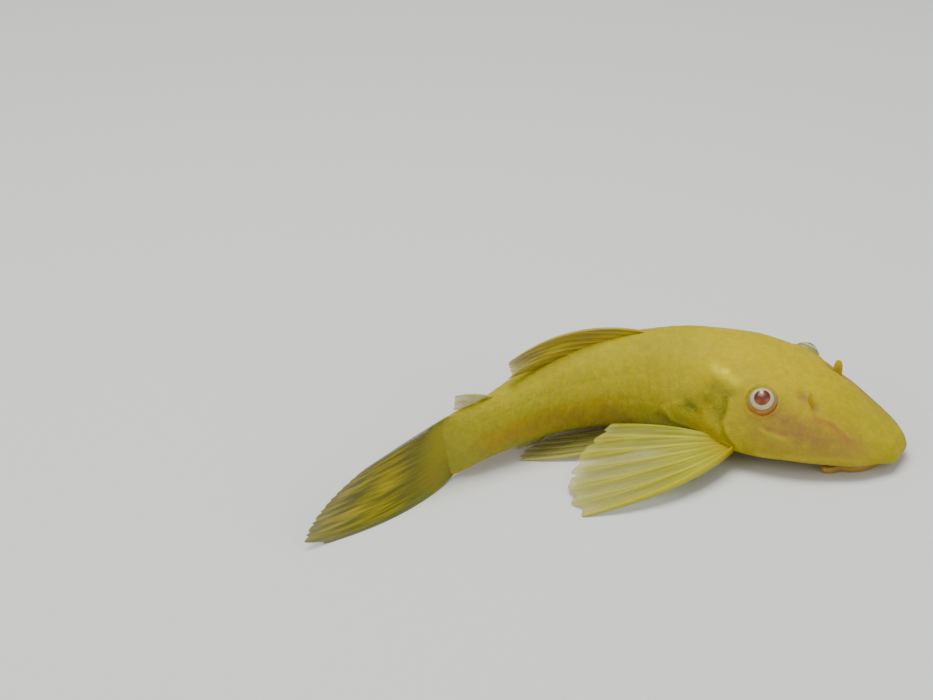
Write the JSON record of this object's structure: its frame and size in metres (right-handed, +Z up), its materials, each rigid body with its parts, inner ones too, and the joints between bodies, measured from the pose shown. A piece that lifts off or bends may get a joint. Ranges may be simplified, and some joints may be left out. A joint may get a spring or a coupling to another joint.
{
  "type": "bristlenose pleco",
  "caption": "Yellow albino bristlenose pleco at life size, resting on its sucker mouth and spread fins, its tail swung to one side.",
  "frame": {"origin": "middle of the rectangle the fish covers on the floor, at floor level", "axes": "+Z up, +X towards the end where the snout points, the fish's right flank towards -Y"},
  "size_m": [0.0606, 0.0504, 0.0116],
  "materials": {
    "skin": "moist golden yellow skin over fine bony plates",
    "fin": "thin translucent yellowish membrane with pale rays",
    "lips": "soft pinkish papillose lips",
    "eye": "wet clear cornea over a cream iris and a red pupil"
  },
  "bodies": {
    "root": {"head": "skin", "trunk": "skin", "tail": "skin", "sucker_mouth": "lips", "eye_right": "eye", "eye_left": "eye", "dorsal_fin": "fin", "adipose_fin": "fin", "anal_fin": "fin", "tail_fin": "fin", "pectoral_fin_right": "fin", "pectoral_fin_left": "fin", "pelvic_fin_right": "fin", "pelvic_fin_left": "fin"}
  },
  "joints": []
}
